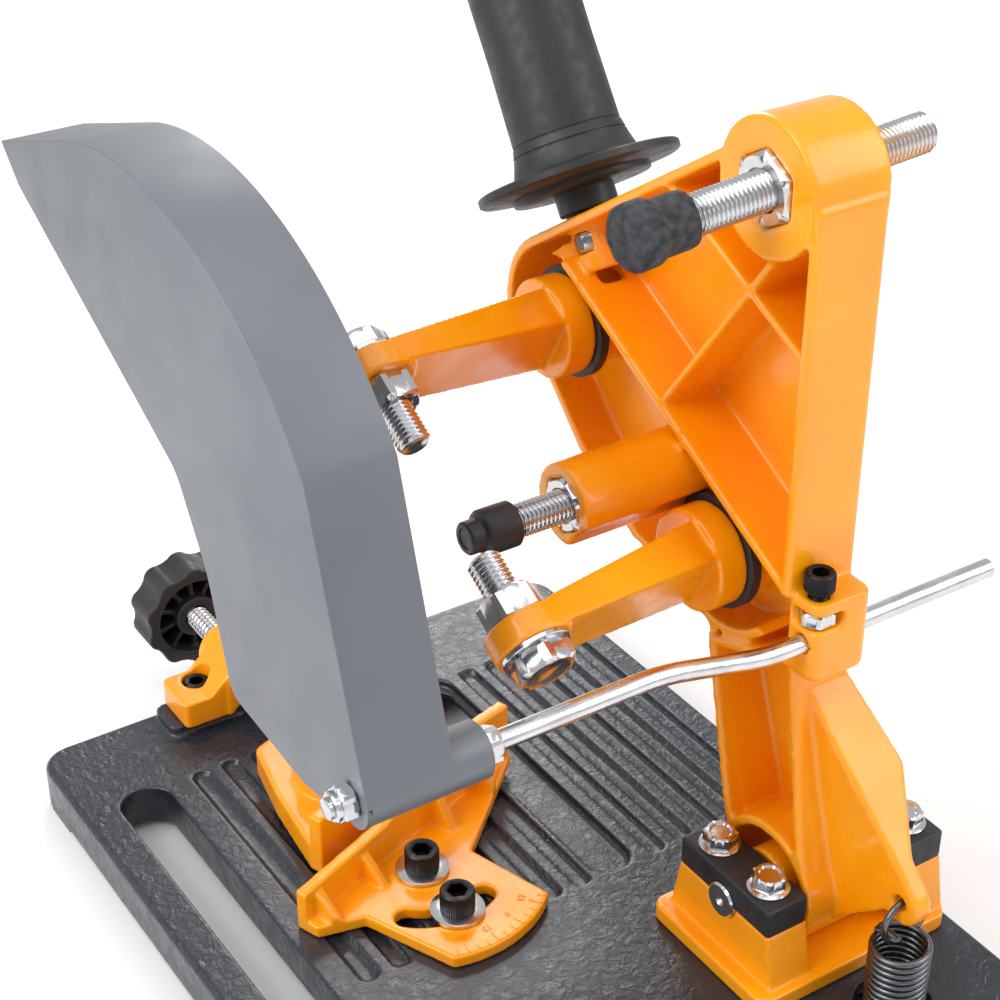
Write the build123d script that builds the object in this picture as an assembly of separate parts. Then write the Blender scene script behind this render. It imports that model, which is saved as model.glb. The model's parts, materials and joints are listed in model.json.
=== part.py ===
from build123d import *
import os
from math import atan2, cos, degrees, hypot, radians, sin

# Angle-grinder cutting stand, drawn with its arm raised and no grinder fitted.
# Frame: +X is the disc side, +Y the pivot side, +Z up. The origin is under the middle of the base,
# on the surface that the stand rests on. Sizes are in millimetres.

# ---------------------------------------------------------------- driving dimensions
FIT = 0.05                     # radial clearance of a running fit
GAP = 0.3                      # clearance between bodies that must not touch

# base plate
BASE_X, BASE_Y, BASE_TOP = 145.0, 200.0, 24.0          # half width, half length, height
BASE_CORNER = 14.0
FOOT_SIZE, FOOT_RISE = 34.0, 2.0
SHELL, SKIRT = 7.0, 6.0                                # top thickness, side wall thickness
SLOT_X, SLOT_WIDTH, SLOT_FRONT, SLOT_REAR = 115.5, 25.0, -149.0, 70.0
RECESS_X, RECESS_WIDTH = -42.0, 22.0
RIB_PITCH, GROOVE_WIDTH, GROOVE_DEPTH = 15.5, 9.0, 2.6
GROOVE_FRONT, GROOVE_REAR = -146.0, 19.0
PAD_X, PAD_HALF, PAD_REAR, PAD_TOP = 40.0, 44.0, -176.0, 29.0
VISE_SCREW_OUT, VISE_SCREW_Y = 23.5, -190.0            # vise bracket screws, either side of the vise screw
SPRING_X, SPRING_HOLE_RADIUS = -88.0, 16.0
SPRING_LOW_END = 13.0

# pivot
PIVOT_Y, PIVOT_Z, PIN_RADIUS = 88.0, 57.0, 8.0
CAP_HALF, CAP_HEIGHT = 29.0, 13.5                      # half length along Y, height
UPRIGHTS = {"left": (-64.5, -43.5), "right": (-139.0, -118.0)}
CAP_BOLT_Y = (PIVOT_Y - 16.0, PIVOT_Y + 16.0)
BRACKET_FOOT = 8.0
BRACKET_X, BRACKET_FOOT_Y = (-139.0, -36.0), (50.0, 126.0)
BRACKET_SCREWS = [(x, y) for x in (-54.0, -128.5) for y in (64.0, 112.0)]
BRACKET_SCREW_TOP = 36.0
HUB_RADIUS, HUB_X = 28.5, (-116.5, -66.0)

# arm casting; outline points are (Y, Z)
ARM_BACK, ARM_WEB, ARM_LOW_RIM, ARM_RIM = -98.0, 4.0, -74.0, -65.0
WALL = 4.5
UPPER_SEAT, LOWER_SEAT = (-70.0, 251.0), (36.5, 191.5)
LOBE_RADIUS = 39.2
BOSS, BOSS_RADIUS = (60.0, 358.5), 27.0
REAR_WALL_Y = 88.5
TAIL, TAIL_RADIUS, TAIL_HOLE = (148.0, 80.0), 10.0, 3.4
LEVER_FACE, LEVER_X = -80.0, (-92.5, -83.5)            # tail lever's side by the hub; its tip
MIDDLE_BOSS, MIDDLE_BOSS_RADIUS, MIDDLE_BOSS_END = (8.0, 217.0), 17.5, -15.0
SEAT_FACE, SEAT_RADIUS = -76.0, 21.0

# support screws
SUPPORT_TILT = 4.5                                     # the upper support screw is drilled at an angle
UPPER_NUT_X = (-74.0, -62.0)

# guard rod and its clamp
ROD_RADIUS, ROD_Y, ROD_LOW, ROD_HIGH = 4.0, 95.0, 181.0, 193.0
ROD_X = (-168.0, 142.0)
BEND_X, BEND_RADIUS = (-50.0, 0.0), 45.0               # the offset bend runs between these
LUG_X, LUG_Y, LUG_Z = (-96.0, -68.0), 103.0, (166.0, 201.0)
CLAMP_SCREW_X = -75.0

# handle: square to the arm's top edge
HANDLE_X, HANDLE_FOOT = -82.0, (-70.0, 298.2)
HANDLE_TILT = 33.2                                     # lean towards the front, degrees
GRIP_LENGTH, GRIP_RADIUS, FLANGE_RADIUS = 112.0, 23.0, 44.0
STUD_RADIUS, STUD_LOW, STUD_HIGH = 6.0, 24.0, 58.0     # M12 stud: below the foot, above it

# clamp arms that hold the grinder's gear head
EYE_X, EYE_ALONG, EYE_ACROSS = 45.0, 20.5, 38.0        # eye centre from the seat axis
EYE_RADIUS, EYE_THICK = 15.5, 11.0
ROOT_X, ROOT_RADIUS, RING_OUT = (-70.6, -57.0), 22.0, 2.6   # root disc; how far its ring stands out
GRINDER_THREAD, GRINDER_AF = 7.0, 22.0                 # M14: radius, across flats
FREE_THREAD = 17.0                                     # length that screws into the grinder

# guard
GUARD_X, GUARD_DEPTH, SHEET = 131.5, 35.0, 2.0
TUBE_X, TUBE_RADIUS = 80.0, 11.0

# vise
VISE_X, SCREW_Z, SCREW_RADIUS, SCREW_PITCH = 40.0, 45.0, 6.0, 3.0
VISE_ANGLE = 19.6                                      # jaw and fence stand turned by this
JAW_Y, JAW_DEPTH, JAW_HALF = -92.0, 30.0, 44.0
KNOB_Y, KNOB_RADIUS = (-258.0, -236.0), 28.0
BRACKET_Y = (-199.0, -172.0)

# fence
FENCE_PIVOT, FENCE_LOCK = (36.0, -22.0), (37.0, 9.0)
FENCE_FACE = -24.0                                     # face, measured from the pivot
FENCE_BOTTOM, FENCE_PLATE = BASE_TOP + GAP, 6.0


# ---------------------------------------------------------------- helpers
def block(x, y, z):
    """A box between two values on each axis."""
    size = (x[1] - x[0], y[1] - y[0], z[1] - z[0])
    centre = ((x[0] + x[1]) / 2, (y[0] + y[1]) / 2, (z[0] + z[1]) / 2)
    return Pos(*centre) * Box(*size)


def bar(start, end, radius):
    """A round bar between two points."""
    axis = Vector(*end) - Vector(*start)
    place = Plane(origin=start, z_dir=axis)
    return place * Cylinder(radius, axis.length, align=(Align.CENTER, Align.CENTER, Align.MIN))


def hexagon(start, end, across_flats, turn=0.0):
    """A hexagonal bar between two points, with its ends chamfered as on a nut."""
    axis = Vector(*end) - Vector(*start)
    corner = across_flats / 3 ** 0.5
    face = Plane(origin=start, z_dir=axis) * Rot(0, 0, turn) * RegularPolygon(corner, 6)
    prism = extrude(face, axis.length, dir=axis.normalized())
    round_off = bar(start, end, corner * 0.985)
    return prism & chamfer(round_off.edges().filter_by(GeomType.CIRCLE), corner * 0.09)


def side_profile(sketch, x):
    """A (Y, Z) sketch made solid between two X values."""
    return extrude(Plane.YZ.offset(x[0]) * sketch, x[1] - x[0])


def disc(centre, radius):
    """A round sketch at a (Y, Z) or (X, Y) point."""
    return Pos(*centre) * Circle(radius)


def polygon(points):
    """A straight-sided sketch."""
    return make_face(Polyline(*points, close=True))


def along_x(centre, x, radius):
    """A round bar along X about a (Y, Z) point."""
    return bar((x[0], *centre), (x[1], *centre), radius)


def socket_screw(seat, direction, radius, length):
    """A socket-head screw: seat is under the head, direction points along the shank."""
    way = Vector(*direction).normalized()
    base = Vector(*seat)
    head_height = 2 * radius
    head = bar(base, base - way * head_height, 1.55 * radius)
    shank = bar(base, base + way * length, radius)
    key = hexagon(base - way * head_height, base - way * radius, 1.6 * radius)
    return head + shank - key


def hex_bolt(seat, direction, radius, across_flats, head, length, flange=0.0):
    """A hexagon bolt, with a washer flange where one is asked for."""
    way = Vector(*direction).normalized()
    base = Vector(*seat)
    bolt = hexagon(base, base - way * head, across_flats) + bar(base, base + way * length, radius)
    if flange:
        bolt += bar(base, base - way * head * 0.28, flange)
    return bolt


def hex_nut(start, end, across_flats, hole, turn=0.0):
    return hexagon(start, end, across_flats, turn) - bar(start, end, hole)


def washer(start, end, radius, hole):
    return bar(start, end, radius) - bar(start, end, hole)


# ---------------------------------------------------------------- base
def make_base_plate():
    outline = RectangleRounded(2 * BASE_X, 2 * BASE_Y, BASE_CORNER)
    body = extrude(Pos(0, 0, FOOT_RISE) * outline, BASE_TOP - FOOT_RISE)
    body = chamfer(body.faces().sort_by(Axis.Z)[-1].edges(), 2.0)
    inside = RectangleRounded(2 * (BASE_X - SKIRT), 2 * (BASE_Y - SKIRT), BASE_CORNER - SKIRT)
    body -= extrude(inside, BASE_TOP - SHELL)
    for x in (-1, 1):
        for y in (-1, 1):
            corner = Pos(x * (BASE_X - FOOT_SIZE / 2), y * (BASE_Y - FOOT_SIZE / 2))
            foot = extrude(corner * Rectangle(FOOT_SIZE, FOOT_SIZE), BASE_TOP - SHELL / 2)
            body += foot & extrude(outline, BASE_TOP - SHELL / 2)

    slot_middle = (SLOT_FRONT + SLOT_REAR) / 2
    slot_length = SLOT_REAR - SLOT_FRONT
    slot = Pos(SLOT_X, slot_middle) * Rot(0, 0, 90) * SlotOverall(slot_length, SLOT_WIDTH)
    rim = Pos(SLOT_X, slot_middle) * Rot(0, 0, 90) * SlotOverall(slot_length + 8, SLOT_WIDTH + 8)
    body += extrude(Pos(0, 0, FOOT_RISE + 3) * rim, BASE_TOP - FOOT_RISE - 5)
    body -= extrude(slot, BASE_TOP)

    for x in (-95.0, -20.0, 60.0):                       # stiffening webs under the top
        body += block((x - 2.5, x + 2.5), (-BASE_Y + 3, BASE_Y - 3), (FOOT_RISE + 3, BASE_TOP - SHELL / 2))

    groove_middle = (GROOVE_FRONT + GROOVE_REAR) / 2
    groove_length = GROOVE_REAR - GROOVE_FRONT
    depth_plane = Plane.XY.offset(BASE_TOP - GROOVE_DEPTH)
    columns = [-28.0 + GROOVE_WIDTH / 2 + i * RIB_PITCH for i in range(8)]
    columns += [-60.0 - GROOVE_WIDTH / 2 - i * RIB_PITCH for i in range(5)]
    for x in columns:
        groove = Pos(x, groove_middle) * Rot(0, 0, 90) * SlotOverall(groove_length, GROOVE_WIDTH)
        body -= extrude(depth_plane * groove, GROOVE_DEPTH)
    recess = Pos(RECESS_X, -65.0) * Rot(0, 0, 90) * SlotOverall(168.0, RECESS_WIDTH)
    body -= extrude(Plane.XY.offset(BASE_TOP - 4.0) * recess, 4.0)
    window = Pos(RECESS_X, -118.0) * Rot(0, 0, 90) * SlotOverall(52.0, RECESS_WIDTH - 6)
    body -= extrude(window, BASE_TOP)

    pad = Pos(PAD_X, (PAD_REAR - BASE_Y + 2) / 2)
    pad *= RectangleRounded(2 * PAD_HALF, PAD_REAR + BASE_Y - 2, 4.0)
    body += extrude(Plane.XY.offset(BASE_TOP - 1) * pad, PAD_TOP - BASE_TOP + 1)
    body -= bar((SPRING_X, TAIL[0], 0), (SPRING_X, TAIL[0], BASE_TOP), SPRING_HOLE_RADIUS)

    # bosses and holes for the screws that come in from above
    for x, y, top, radius in base_screw_places():
        body += bar((x, y, FOOT_RISE + 3), (x, y, top - 0.5), radius + 4.0)
        body -= bar((x, y, FOOT_RISE + 1), (x, y, top + 6), radius)
    for x, y in BRACKET_SCREWS:
        body -= bar((x, y, 0), (x, y, BASE_TOP + 1), 4.0)
    body -= spring_anchor(FIT)
    return body


def base_screw_places():
    """X, Y, surface height and hole radius of each screw boss in the base."""
    fence = [(*place, BASE_TOP, 5.0) for place in (FENCE_PIVOT, FENCE_LOCK)]
    vise = [(VISE_X + side * VISE_SCREW_OUT, VISE_SCREW_Y, PAD_TOP, 4.0) for side in (-1, 1)]
    return fence + vise


def spring_anchor(extra=0.0):
    return bar((-108.0, TAIL[0], 9.0), (-68.0, TAIL[0], 9.0), 3.0 + extra)


# ---------------------------------------------------------------- pivot bracket, caps, pin, spring
def make_pivot():
    nodes = {}
    foot_top = BASE_TOP + BRACKET_FOOT
    bracket = block(BRACKET_X, BRACKET_FOOT_Y, (BASE_TOP, foot_top))
    bracket = fillet(bracket.edges().filter_by(Axis.Z), 6.0)
    for low, high in UPRIGHTS.values():
        leg = polygon([
            (PIVOT_Y - CAP_HALF - 5, foot_top - 1), (PIVOT_Y + CAP_HALF + 5, foot_top - 1),
            (PIVOT_Y + CAP_HALF, PIVOT_Z - 0.2), (PIVOT_Y - CAP_HALF, PIVOT_Z - 0.2),
        ])
        bracket += side_profile(leg, (low, high))
    bracket -= bar((SPRING_X, TAIL[0], 0), (SPRING_X, TAIL[0], foot_top), SPRING_HOLE_RADIUS + 1)
    bracket -= along_x((PIVOT_Y, PIVOT_Z), (-150, -30), PIN_RADIUS)
    bracket -= along_x((PIVOT_Y, PIVOT_Z), (UPRIGHTS["right"][1], UPRIGHTS["left"][0]), HUB_RADIUS + 1.5)
    for low, high in UPRIGHTS.values():
        for y in CAP_BOLT_Y:
            x = (low + high) / 2
            bracket -= bar((x, y, PIVOT_Z - 19), (x, y, PIVOT_Z), 4.0)
    for x, y in BRACKET_SCREWS:
        bracket -= bar((x, y, BASE_TOP - 1), (x, y, BRACKET_SCREW_TOP + 1), 4.0)
    nodes["pivot_bracket"] = bracket

    bolts = []
    for side, (low, high) in UPRIGHTS.items():
        cap = block((low, high), (PIVOT_Y - CAP_HALF, PIVOT_Y + CAP_HALF), (PIVOT_Z, PIVOT_Z + CAP_HEIGHT))
        cap = fillet(cap.edges().filter_by(Axis.Z), 1.5)
        cap = chamfer(cap.faces().sort_by(Axis.Z)[-1].edges(), 0.8)
        cap -= along_x((PIVOT_Y, PIVOT_Z), (low, high), PIN_RADIUS)
        for y in CAP_BOLT_Y:
            x = (low + high) / 2
            cap -= bar((x, y, PIVOT_Z - 1), (x, y, PIVOT_Z + 20), 4.0)
            top = PIVOT_Z + CAP_HEIGHT
            bolts.append(hex_bolt((x, y, top), (0, 0, -1), 4.0, 13.0, 7.5, 30.0, flange=9.0))
        nodes["bearing_cap_" + side] = cap
    nodes["bearing_cap_bolts"] = Compound(bolts)

    pin = along_x((PIVOT_Y, PIVOT_Z), (-140.5, -42.0), PIN_RADIUS)
    nodes["pivot_pin"] = chamfer(pin.edges().filter_by(GeomType.CIRCLE), 0.8)
    under = BASE_TOP - SHELL                             # these come up from inside the base
    grip = BRACKET_SCREW_TOP - under
    screws = [socket_screw((*place, under), (0, 0, 1), 4.0, grip) for place in BRACKET_SCREWS]
    nodes["bracket_screws"] = Compound(screws)
    nodes["spring_anchor_pin"] = spring_anchor()
    nodes["return_spring"] = make_spring()
    return nodes


def make_spring():
    """The coil as a closed sleeve, with a hook at each end."""
    low, high, outer, wire = 22.0, 64.0, 13.0, 1.5
    x, y = SPRING_X, TAIL[0]
    coil = bar((x, y, low), (x, y, high), outer) - bar((x, y, low), (x, y, high), outer - 2 * wire)
    for level in (low + 1.0, high - 4.0):                # the wire that crosses the coil to its hook
        coil += block((x - wire, x + wire), (y - outer + wire, y + outer - wire), (level, level + 3.0))
    coil += bar((x, y, SPRING_LOW_END), (x, y, low + 2.0), wire * 0.9)
    return coil + bar((x, y, high - 2.0), (x, y, TAIL[1] - TAIL_RADIUS - 1.0), wire * 0.9)


# ---------------------------------------------------------------- arm
def arm_outline(inset=0.0):
    """The casting's side outline, or the inside of its walls."""
    lobe_top = (UPPER_SEAT[0] - LOBE_RADIUS * 0.545, UPPER_SEAT[1] + LOBE_RADIUS * 0.838)
    outline = polygon([
        lobe_top, (48.8, 375.7), (REAR_WALL_Y, BOSS[1]), (REAR_WALL_Y, 152.0), (112.0, 72.0),
        (62.5, 68.0), (31.0, 153.0), (14.0, 160.0), (-23.0, 166.0), (-64.0, 190.0), (-98.5, 224.0),
    ])
    if inset:
        outline = offset(outline, -inset, kind=Kind.ARC)
    outline += disc(UPPER_SEAT, LOBE_RADIUS - inset)
    outline += disc(LOWER_SEAT, LOBE_RADIUS - inset)
    return outline


def wall_between(start, end, thick, x):
    """An upright wall of the casting, along a line between two (Y, Z) points."""
    length = hypot(end[0] - start[0], end[1] - start[1])
    angle = degrees(atan2(end[1] - start[1], end[0] - start[0]))
    middle = ((start[0] + end[0]) / 2, (start[1] + end[1]) / 2)
    return side_profile(Pos(*middle) * Rot(0, 0, angle) * Rectangle(length, thick), x)


def make_arm_casting():
    outline = arm_outline()
    inner = arm_outline(WALL)
    body = side_profile(outline, (ARM_BACK, ARM_RIM)) - side_profile(inner, (ARM_BACK + ARM_WEB, ARM_RIM))
    # the rim is lower around the seats and down the neck
    low_side = polygon([(-130, 238), (-84, 232), (0, 200), (60, 199), (130, 199), (130, 20), (-130, 20)])
    body -= side_profile(low_side, (ARM_LOW_RIM, ARM_RIM + 1))

    # divider, cross ribs and the curved wall under the lower seat
    divider = ((-74.0, 284.5), (86.5, 199.8))
    body += wall_between(*divider, WALL, (ARM_BACK, ARM_RIM))
    rib = (ARM_BACK, ARM_RIM - 1.5)
    for ends in (((0.5, 243.5), (74.0, 346.0)), ((-4.0, 341.0), (85.5, 297.5))):
        body += wall_between(*ends, 3.5, rib) & side_profile(outline, rib)
    seat_ring = disc(LOWER_SEAT, LOBE_RADIUS) - disc(LOWER_SEAT, LOBE_RADIUS - WALL)
    below = polygon([(-10, 190), (86, 160), (86, 120), (-10, 120)])
    body += side_profile(seat_ring & below, (ARM_BACK, ARM_LOW_RIM))

    # bosses
    body += along_x(BOSS, (ARM_BACK - 2, ARM_RIM + 1), BOSS_RADIUS)
    body += along_x(MIDDLE_BOSS, (ARM_BACK, MIDDLE_BOSS_END), MIDDLE_BOSS_RADIUS)
    for seat in (UPPER_SEAT, LOWER_SEAT):
        body += along_x(seat, (ARM_BACK, SEAT_FACE), SEAT_RADIUS)
        body -= along_x(seat, (ARM_BACK - 1, SEAT_FACE + 1), 5.2)

    # neck, widening down to the hub
    neck_side = polygon([(62.5, 66.0), (33.0, 148.0), (86.0, 166.0), (REAR_WALL_Y, 152.0), (112.0, 70.0)])
    plan = polygon([(ARM_BACK, 166), (ARM_LOW_RIM, 166), (HUB_X[1], 84), (HUB_X[1], 30),
                    (HUB_X[0], 30), (HUB_X[0], 84)])
    neck_taper = extrude(Plane.XZ.offset(-170) * plan, 170)
    neck = side_profile(neck_side, HUB_X) & neck_taper
    hollow_side = offset(neck_side, -WALL, kind=Kind.ARC)
    hollow_plan = polygon([(ARM_BACK + ARM_WEB, 170), (ARM_RIM + 5, 170), (HUB_X[1] + 5, 60),
                           (HUB_X[0] + 5, 60)])
    neck -= side_profile(hollow_side, HUB_X) & extrude(Plane.XZ.offset(-130) * hollow_plan, 130)
    body += neck

    # hub: a shell with a web and an inner boss round the pin
    pivot = (PIVOT_Y, PIVOT_Z)
    body += along_x(pivot, HUB_X, HUB_RADIUS)
    body -= along_x(pivot, (HUB_X[1] - 17, HUB_X[1] + 1), HUB_RADIUS - WALL)
    body -= along_x(pivot, (HUB_X[0] - 1, HUB_X[0] + 12), HUB_RADIUS - WALL)
    body += along_x(pivot, HUB_X, 14.0)

    # tail lever for the spring
    lever_side = polygon([(70.0, 150.0), (REAR_WALL_Y - 1, 152.0), (TAIL[0] + 7.1, TAIL[1] + 7.1),
                          (TAIL[0] - 6, TAIL[1] - 8), (100.0, 36.0)])
    lever_side += disc(TAIL, TAIL_RADIUS)
    near, far = LEVER_X
    lever_plan = polygon([(HUB_X[0], 78.0), (LEVER_FACE, 78.0), (LEVER_FACE, 104.0), (far, TAIL[0] - 4),
                          (far, 162.0), (near, 162.0), (near, TAIL[0] - 4), (HUB_X[0], 104.0)])
    lever = side_profile(lever_side, HUB_X) & extrude(lever_plan, 170) & neck_taper
    body += lever - along_x(pivot, (HUB_X[0] - 1, HUB_X[1] + 1), HUB_RADIUS - 1)
    body -= along_x(TAIL, (-100, -75), TAIL_HOLE)
    body -= along_x(pivot, (HUB_X[0] - 1, HUB_X[1] + 1), PIN_RADIUS + 2.0)

    # clamp lug for the guard rod
    lug = block(LUG_X, (REAR_WALL_Y - 2, LUG_Y), LUG_Z)
    lug = fillet(lug.edges().filter_by(Axis.Z).group_by(Axis.Y)[-1], 4.0)
    body += lug
    body -= along_x((ROD_Y, ROD_LOW), (LUG_X[0] - 40, LUG_X[1] + 1), ROD_RADIUS + FIT)
    body -= bar((CLAMP_SCREW_X, ROD_Y, ROD_LOW), (CLAMP_SCREW_X, ROD_Y, LUG_Z[1] + 1), 4.0)
    body -= block((-82.5, LUG_X[1] + 1), (ROD_Y - 6.6, LUG_Y + 1), (188.5, 195.5))

    # handle boss, with a slot for its lock nut
    foot = Vector(HANDLE_X, *HANDLE_FOOT)
    up = handle_axis()
    body += bar(foot - up * 24, foot + up * 1, 11.0) & block((ARM_BACK, -60), (-120, 0), (200, 330))
    body -= bar(foot - up * 30, foot + up * 5, 6.0)
    body -= handle_nut_solid(0.3, True)
    body -= upper_screw_shape(8.6, (-112.0, -50.0))
    body -= upper_nut_shape(0.0)
    body -= along_x(MIDDLE_BOSS, (-101, 0), 7.5)
    body -= hexagon((-24.0, *MIDDLE_BOSS), (MIDDLE_BOSS_END + 1, *MIDDLE_BOSS), 22.0)
    # room in front of each seat for the clamp arm to turn
    for seat in (UPPER_SEAT, LOWER_SEAT):
        body -= along_x(seat, (SEAT_FACE, MIDDLE_BOSS_END + 1), ROOT_RADIUS + RING_OUT + 0.6)
    return body


def handle_axis():
    return Vector(0, -sin(radians(HANDLE_TILT)), cos(radians(HANDLE_TILT)))


def handle_nut_solid(extra=0.0, open_side=False):
    """The lock nut on the handle's stud, or the slot that it drops into."""
    foot = Vector(HANDLE_X, *HANDLE_FOOT)
    up = handle_axis()
    nut = hexagon(foot - up * (15 + extra), foot - up * (7 - extra), 19.0 + 2 * extra)
    if open_side:
        nut += Pos(16, 0, 0) * nut
    return nut


def tilt_upper(shape):
    """Turn a shape about Y and Z through the upper boss, as the drilled hole stands."""
    place = Pos(ARM_RIM, *BOSS)
    return place * Rot(0, SUPPORT_TILT, 0) * place.inverse() * shape


def upper_screw_shape(radius, x):
    return tilt_upper(along_x(BOSS, x, radius))


def upper_nut_shape(hole):
    nut = hexagon((UPPER_NUT_X[0], *BOSS), (UPPER_NUT_X[1], *BOSS), 27.0)
    if hole:
        nut -= along_x(BOSS, UPPER_NUT_X, hole)
    return tilt_upper(nut)


def make_arm_fittings():
    nodes = {}
    pivot = (PIVOT_Y, PIVOT_Z)
    bushes = [washer((a, *pivot), (b, *pivot), PIN_RADIUS + 2.0, PIN_RADIUS + FIT)
              for a, b in ((HUB_X[0], HUB_X[0] + 18), (HUB_X[1] - 18, HUB_X[1]))]
    nodes["pivot_bushes"] = Compound(bushes)

    foot = Vector(HANDLE_X, *HANDLE_FOOT)
    up = handle_axis()
    at = Plane(origin=foot + up * 1.5, z_dir=up, x_dir=(1, 0, 0))
    profile = polygon([                                  # (radius, height above the foot)
        (0, 0), (13, 0), (13, 9), (30, 9.5), (30, 12.5),
        (FLANGE_RADIUS, 13.5), (FLANGE_RADIUS, 17.5), (27, 19.5), (24.5, 26), (GRIP_RADIUS, 30),
        (GRIP_RADIUS, GRIP_LENGTH), (GRIP_RADIUS - 4, GRIP_LENGTH + 6), (0, GRIP_LENGTH + 7.5)])
    grip = at * revolve(Plane.XZ * profile, Axis.Z)
    nodes["handle_grip"] = grip - bar(foot, foot + up * (STUD_HIGH + 2), STUD_RADIUS)
    nodes["handle_stud"] = bar(foot - up * STUD_LOW, foot + up * STUD_HIGH, STUD_RADIUS)
    nodes["handle_lock_nut"] = handle_nut_solid() - bar(foot - up * STUD_LOW, foot, STUD_RADIUS)

    screw_top = LUG_Z[1] + 3.0
    nodes["rod_clamp_screw"] = socket_screw(
        (CLAMP_SCREW_X, ROD_Y, screw_top), (0, 0, -1), 4.0, screw_top - ROD_LOW - ROD_RADIUS - GAP)
    nodes["rod_clamp_nut"] = hex_nut((CLAMP_SCREW_X, ROD_Y, 189.0), (CLAMP_SCREW_X, ROD_Y, 195.0), 13.0, 4.0)
    nodes["upper_support_nut"] = upper_nut_shape(8.0 + FIT)
    nodes["lower_support_nut"] = hex_nut((-24.0, *MIDDLE_BOSS), (-14.5, *MIDDLE_BOSS), 22.0, 7.0 + FIT)
    nodes["arm_washers"] = Compound([
        washer((ARM_BACK - 2.5, *seat), (ARM_BACK, *seat), 12.0, 5.2) for seat in (UPPER_SEAT, LOWER_SEAT)])
    return nodes


# ---------------------------------------------------------------- clamp arms
SPREAD = Vector(0, LOWER_SEAT[0] - UPPER_SEAT[0], LOWER_SEAT[1] - UPPER_SEAT[1]).normalized()
ACROSS = Vector(0, -SPREAD.Z, SPREAD.Y)


def make_clamp_arm(name, seat, inward):
    """One clamp arm with its ring, bolts, nut and washers; inward is +1 if its bolt points along SPREAD."""
    nodes = {}
    root = Vector(0, *seat)
    eye = root + Vector(EYE_X, 0, 0) + SPREAD * EYE_ALONG + ACROSS * EYE_ACROSS
    half = EYE_THICK / 2
    near = Plane(origin=root + Vector(ROOT_X[1] - 6, 0, 0), x_dir=ACROSS, z_dir=(1, 0, 0))
    tip = eye - Vector(2, 0, 0)
    far = Plane(origin=tip, x_dir=ACROSS, z_dir=(1, 0, 0))
    beam = loft([near * Rectangle(34.0, 20.0), far * Rectangle(2 * EYE_RADIUS, EYE_THICK)], ruled=True)
    body = along_x(seat, ROOT_X, ROOT_RADIUS) + beam
    body += bar(eye - SPREAD * half, eye + SPREAD * half, EYE_RADIUS)
    for way in (SPREAD, SPREAD * -1):
        body -= bar(eye + way * half, eye + way * (half + 12), EYE_RADIUS - 0.2)
    body -= bar(eye - SPREAD * 20, eye + SPREAD * 20, GRINDER_THREAD)
    body -= along_x(seat, (ROOT_X[0] - 1, ROOT_X[0] + 11), 5.0)
    nodes[name + "_clamp_arm"] = body

    ring = washer((SEAT_FACE + GAP, *seat), (ROOT_X[0], *seat), ROOT_RADIUS + RING_OUT, 5.2)
    nodes[name + "_arm_ring"] = ring
    back = ARM_BACK - 2.5 - GAP
    nodes[name + "_arm_bolt"] = hex_bolt((back, *seat), (1, 0, 0), 5.0, 17.0, 6.4, ROOT_X[0] + 10 - back)

    way = SPREAD * inward
    washer_seat = eye - way * half
    nodes[name + "_grinder_washer"] = washer(washer_seat - way * 2.0, washer_seat, 14.0, GRINDER_THREAD)
    nut_end = eye + way * (half + 12.0)
    bolt = hex_bolt(washer_seat - way * 2.0, way, GRINDER_THREAD, GRINDER_AF, 8.8, 2.0 + EYE_THICK + 12.0)
    nodes[name + "_grinder_bolt"] = bolt + bar(nut_end, nut_end + way * FREE_THREAD, GRINDER_THREAD - 0.1)
    nodes[name + "_grinder_nut"] = hex_nut(eye + way * half, nut_end, GRINDER_AF, GRINDER_THREAD)
    return nodes


# ---------------------------------------------------------------- support screws
def make_support_screws():
    nodes = {}
    upper = upper_screw_shape(8.0, (-140.0, -12.0))
    nodes["upper_support_screw"] = upper
    cap = along_x(BOSS, (-28.0, -1.0), 11.0) + along_x(BOSS, (-14.0, -1.0), 12.5)
    cap = tilt_upper(cap - along_x(BOSS, (-29.0, -11.7), 8.0 + FIT))
    nodes["upper_support_cap"] = cap

    nodes["lower_support_screw"] = along_x(MIDDLE_BOSS, (-88.0, 20.0), 7.0)
    cap = along_x(MIDDLE_BOSS, (9.0, 24.0), 9.5) + along_x(MIDDLE_BOSS, (24.0, 31.0), 7.0)
    nodes["lower_support_cap"] = cap - along_x(MIDDLE_BOSS, (8.0, 20.3), 7.0 + FIT)
    return nodes


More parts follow.
